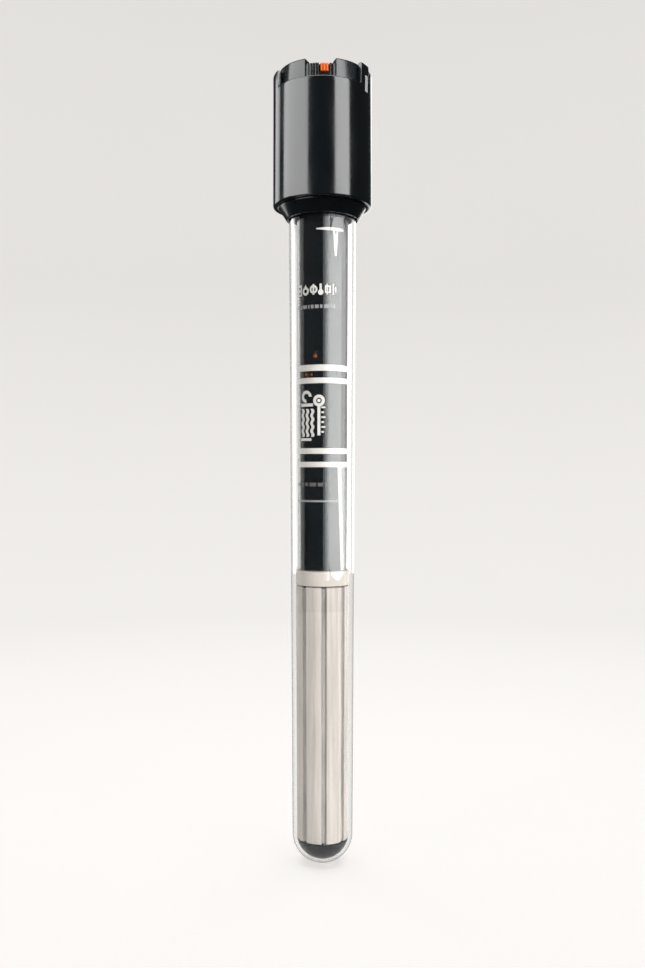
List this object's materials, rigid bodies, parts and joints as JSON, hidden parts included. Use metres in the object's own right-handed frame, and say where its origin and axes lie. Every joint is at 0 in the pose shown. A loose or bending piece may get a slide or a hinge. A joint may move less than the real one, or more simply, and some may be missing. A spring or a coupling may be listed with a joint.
{
  "type": "submersible aquarium heater",
  "caption": "Glass-tube aquarium heater with a black cap, temperature dial, printed thermostat sleeve and grooved ceramic heating core.",
  "frame": {"origin": "on the tube's axis, where a holder grips the plain stretch of tube 30 mm below the cap's collar", "axes": "+Z along the tube towards the cap, -Y out of the printed front, +X to the right seen from the front"},
  "size_m": [0.0296, 0.0398, 0.2438],
  "materials": {
    "black_plastic": "glossy moulded black",
    "orange_plastic": "glossy orange",
    "clear_glass": "clear, polished",
    "black_rubber": "matte",
    "brass": "turned",
    "steel": "plain spring steel",
    "contact_silver": "bright silver contact",
    "magnet": "sintered",
    "guide_plastic": "moulded",
    "laminate": "phenolic laminate",
    "neon_glass": "glowing orange",
    "resistor_body": "lacquered",
    "capacitor_case": "dipped resin",
    "live_insulation": "brown insulation",
    "neutral_insulation": "blue insulation",
    "printed_sleeve": "black film with white marks",
    "mica": "pressed mica",
    "ceramic": "unglazed, cream",
    "resistance_wire": "oxidised wire"
  },
  "bodies": {
    "heater_body": {"cap_shell": "black_plastic", "clamp_ring": "black_plastic", "glass_tube": "clear_glass", "tube_o_ring": "black_rubber", "seal_bung": "black_rubber", "cord_gland": "black_plastic", "cord_grommet": "black_rubber", "spindle_bush": "brass", "spindle_o_ring": "black_rubber", "friction_washer": "steel", "adjuster_guide": "guide_plastic", "lever_bracket": "steel", "lever_pin": "steel", "circuit_board": "laminate", "bimetal_post": "brass", "bimetal_rivet": "brass", "snap_magnet": "magnet", "neon_lamp": "neon_glass", "neon_resistor": "resistor_body", "suppression_capacitor": "capacitor_case", "live_terminal": "brass", "neutral_terminal": "brass", "live_lead": "live_insulation", "neutral_lead": "neutral_insulation", "label_sleeve": "printed_sleeve", "mica_disc": "mica", "ceramic_ring": "ceramic", "ceramic_core": "ceramic", "heating_coil": "resistance_wire", "coil_crimp_live": "brass", "coil_crimp_neutral": "brass", "feed_wire_live": "live_insulation", "feed_wire_neutral": "neutral_insulation", "rubber_cushion": "black_rubber"},
    "dial": {"temperature_dial": "black_plastic", "dial_pointer": "orange_plastic", "dial_cover": "black_plastic", "dial_screw": "steel", "dial_spindle": "brass", "spindle_circlip": "steel"},
    "adjuster": {"adjuster_nut": "brass"},
    "lever": {"set_lever": "steel", "fixed_contact": "contact_silver"},
    "bimetal": {"bimetal_strip": "steel", "moving_contact": "contact_silver", "armature_plate": "steel"}
  },
  "joints": [
    {"name": "dial_turn", "type": "hinge", "parent": "heater_body", "child": "dial", "pos_m": [0, 0, 0], "axis": [0, 0, 1], "range_deg": [-135, 135]},
    {"name": "adjuster_travel", "type": "slide", "parent": "heater_body", "child": "adjuster", "axis": [0, 0, 1], "range_m": [-0.0003, 0.0003]},
    {"name": "lever_swing", "type": "hinge", "parent": "heater_body", "child": "lever", "pos_m": [0, -0.0035, 0], "axis": [1, 0, 0], "range_deg": [-4.5, 4.5]},
    {"name": "bimetal_flex", "type": "hinge", "parent": "heater_body", "child": "bimetal", "pos_m": [0, 0.00015, -0.047], "axis": [1, 0, 0], "range_deg": [0, 0.9], "stiffness_Nm_per_rad": 0.02}
  ],
  "couplings": [
    {"joint": "adjuster_travel", "follows": "dial_turn", "m_per_rad": -0.00011141},
    {"joint": "lever_swing", "follows": "dial_turn", "ratio": -0.031831}
  ]
}
